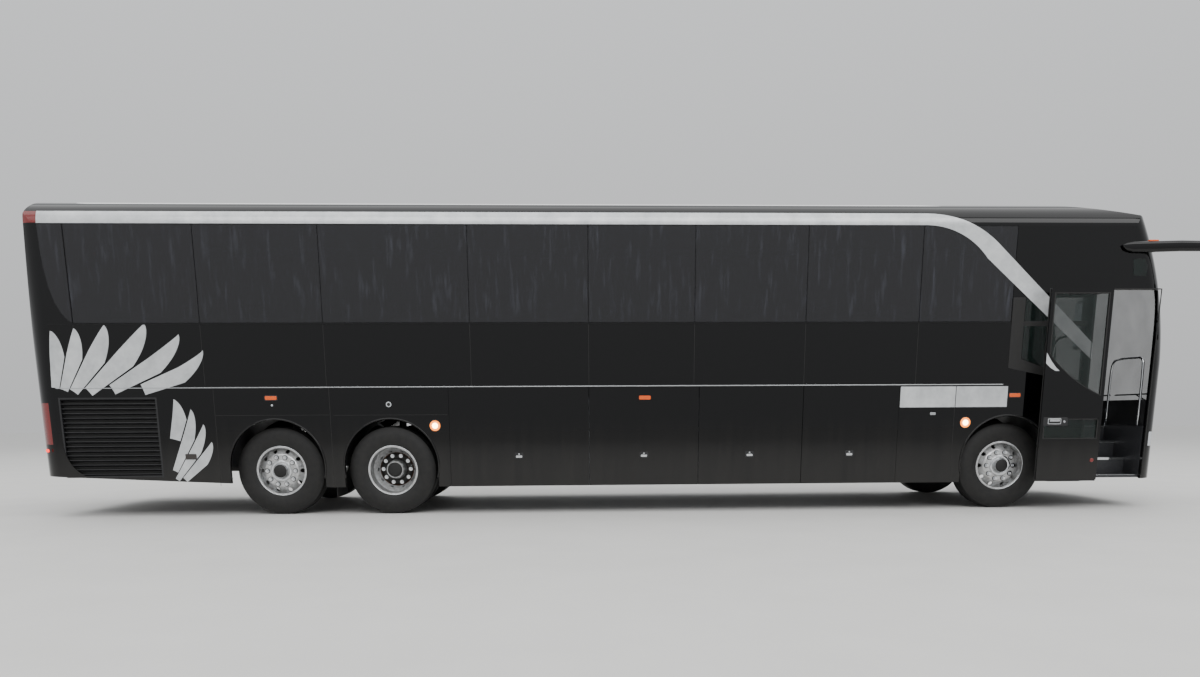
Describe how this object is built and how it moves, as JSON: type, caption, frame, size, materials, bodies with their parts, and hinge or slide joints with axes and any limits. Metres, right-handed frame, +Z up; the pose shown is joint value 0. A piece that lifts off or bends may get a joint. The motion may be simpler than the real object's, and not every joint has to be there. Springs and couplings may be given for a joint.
{
  "type": "three-axle touring coach",
  "caption": "Long high-floor touring coach with tag axle, plug entry door held open, lifting luggage doors, steered front wheels and a hollow cabin with seats.",
  "frame": {"origin": "on the ground under the middle of the whole vehicle, mirrors counted", "axes": "+X towards the front, +Y towards the driver's side, +Z up"},
  "size_m": [14.146, 3.12, 3.6598],
  "materials": {
    "black_paint": "gloss",
    "silver_paint": "satin",
    "tinted_glass": "gloss",
    "lamp_lens": "gloss",
    "black_plastic": "matte",
    "rubber": "matte",
    "floor_board": "matte",
    "steel": "satin",
    "cast_iron": "matte",
    "fabric": "matte",
    "tyre": "matte",
    "aluminium": "polished"
  },
  "bodies": {
    "coach": {"cab_floor": "black_plastic", "dashboard": "black_plastic", "drive_axle": "steel", "engine_block": "cast_iron", "entry_steps": "black_plastic", "frame_rails": "steel", "front_axle": "steel", "front_bumper": "black_paint", "front_header": "black_paint", "front_mask": "black_paint", "headlamps": "lamp_lens", "luggage_bays": "steel", "mirror_left": "black_plastic", "mirror_right": "black_plastic", "mud_flaps": "rubber", "passenger_floor": "floor_board", "rear_bumper": "black_paint", "rear_cap": "black_paint", "roof_shell": "black_paint", "seats": "fabric", "side_glass": "tinted_glass", "side_lamps": "lamp_lens", "side_louvres": "black_plastic", "side_wall_left": "black_paint", "side_wall_right": "black_paint", "silver_trim": "silver_paint", "skirt_left": "black_paint", "skirt_right": "black_paint", "steering_wheel": "black_plastic", "tag_axle": "steel", "tail_lamps": "lamp_lens", "wheel_housings": "black_plastic", "windscreen": "tinted_glass"},
    "steering_knuckle_right": {"knuckle_right": "steel"},
    "front_wheel_right": {"front_tyre_right": "tyre", "front_rim_right": "aluminium"},
    "drive_wheels_right": {"drive_tyres_right": "tyre", "drive_rims_right": "aluminium"},
    "tag_wheel_right": {"tag_tyre_right": "tyre", "tag_rim_right": "aluminium"},
    "steering_knuckle_left": {"knuckle_left": "steel"},
    "front_wheel_left": {"front_tyre_left": "tyre", "front_rim_left": "aluminium"},
    "drive_wheels_left": {"drive_tyres_left": "tyre", "drive_rims_left": "aluminium"},
    "tag_wheel_left": {"tag_tyre_left": "tyre", "tag_rim_left": "aluminium"},
    "door_carrier": {"door_arms": "steel"},
    "door_leaf": {"entry_door": "black_paint", "door_glass": "tinted_glass"},
    "luggage_flap_right_1": {"luggage_door_right_1": "black_paint"},
    "luggage_flap_right_2": {"luggage_door_right_2": "black_paint"},
    "luggage_flap_right_3": {"luggage_door_right_3": "black_paint"},
    "luggage_flap_right_4": {"luggage_door_right_4": "black_paint"},
    "luggage_flap_left_1": {"luggage_door_left_1": "black_paint"},
    "luggage_flap_left_2": {"luggage_door_left_2": "black_paint"},
    "luggage_flap_left_3": {"luggage_door_left_3": "black_paint"},
    "luggage_flap_left_4": {"luggage_door_left_4": "black_paint"},
    "engine_lid": {"engine_door": "black_paint"}
  },
  "joints": [
    {"name": "steer_right", "type": "hinge", "parent": "coach", "child": "steering_knuckle_right", "pos_m": [4.567, -0.93, 0.525], "axis": [0, 0, 1], "range_deg": [-40, 40]},
    {"name": "front_wheel_right_spin", "type": "hinge", "parent": "steering_knuckle_right", "child": "front_wheel_right", "pos_m": [4.567, -1.04, 0.525], "axis": [0, 1, 0], "continuous": true},
    {"name": "drive_wheels_right_spin", "type": "hinge", "parent": "coach", "child": "drive_wheels_right", "pos_m": [-2.933, -0.92, 0.525], "axis": [0, 1, 0], "continuous": true},
    {"name": "tag_wheel_right_spin", "type": "hinge", "parent": "coach", "child": "tag_wheel_right", "pos_m": [-4.283, -1.04, 0.525], "axis": [0, 1, 0], "continuous": true},
    {"name": "steer_left", "type": "hinge", "parent": "coach", "child": "steering_knuckle_left", "pos_m": [4.567, 0.93, 0.525], "axis": [0, 0, 1], "range_deg": [-40, 40]},
    {"name": "front_wheel_left_spin", "type": "hinge", "parent": "steering_knuckle_left", "child": "front_wheel_left", "pos_m": [4.567, 1.04, 0.525], "axis": [0, 1, 0], "continuous": true},
    {"name": "drive_wheels_left_spin", "type": "hinge", "parent": "coach", "child": "drive_wheels_left", "pos_m": [-2.933, 0.92, 0.525], "axis": [0, 1, 0], "continuous": true},
    {"name": "tag_wheel_left_spin", "type": "hinge", "parent": "coach", "child": "tag_wheel_left", "pos_m": [-4.283, 1.04, 0.525], "axis": [0, 1, 0], "continuous": true},
    {"name": "door_swing", "type": "hinge", "parent": "coach", "child": "door_carrier", "pos_m": [5.572, -1.17283, 0.4003], "axis": [0, 0, 1], "range_deg": [0, 129.2]},
    {"name": "door_leaf_turn", "type": "hinge", "parent": "door_carrier", "child": "door_leaf", "pos_m": [5.27811, -1.44417, 0.78], "axis": [0, 0, 1], "range_deg": [-129.2, 0]},
    {"name": "luggage_door_right_1_hinge", "type": "hinge", "parent": "coach", "child": "luggage_flap_right_1", "pos_m": [-1.3925, -1.2955, 1.5], "axis": [-1, 0, 0], "range_deg": [0, 88]},
    {"name": "luggage_door_right_2_hinge", "type": "hinge", "parent": "coach", "child": "luggage_flap_right_2", "pos_m": [0.105, -1.2955, 1.5], "axis": [-1, 0, 0], "range_deg": [0, 88]},
    {"name": "luggage_door_right_3_hinge", "type": "hinge", "parent": "coach", "child": "luggage_flap_right_3", "pos_m": [1.399, -1.2955, 1.5], "axis": [-1, 0, 0], "range_deg": [0, 88]},
    {"name": "luggage_door_right_4_hinge", "type": "hinge", "parent": "coach", "child": "luggage_flap_right_4", "pos_m": [2.6185, -1.2955, 1.5], "axis": [-1, 0, 0], "range_deg": [0, 88]},
    {"name": "luggage_door_left_1_hinge", "type": "hinge", "parent": "coach", "child": "luggage_flap_left_1", "pos_m": [-1.3925, 1.2955, 1.5], "axis": [1, 0, 0], "range_deg": [0, 88]},
    {"name": "luggage_door_left_2_hinge", "type": "hinge", "parent": "coach", "child": "luggage_flap_left_2", "pos_m": [0.105, 1.2955, 1.5], "axis": [1, 0, 0], "range_deg": [0, 88]},
    {"name": "luggage_door_left_3_hinge", "type": "hinge", "parent": "coach", "child": "luggage_flap_left_3", "pos_m": [1.399, 1.2955, 1.5], "axis": [1, 0, 0], "range_deg": [0, 88]},
    {"name": "luggage_door_left_4_hinge", "type": "hinge", "parent": "coach", "child": "luggage_flap_left_4", "pos_m": [2.6185, 1.2955, 1.5], "axis": [1, 0, 0], "range_deg": [0, 88]},
    {"name": "engine_door_hinge", "type": "hinge", "parent": "coach", "child": "engine_lid", "pos_m": [-7.0434, 0, 1.7], "axis": [0, 1, 0], "range_deg": [0, 75]}
  ],
  "couplings": [
    {"joint": "steer_left", "follows": "steer_right", "ratio": 1},
    {"joint": "door_leaf_turn", "follows": "door_swing", "ratio": -1}
  ]
}
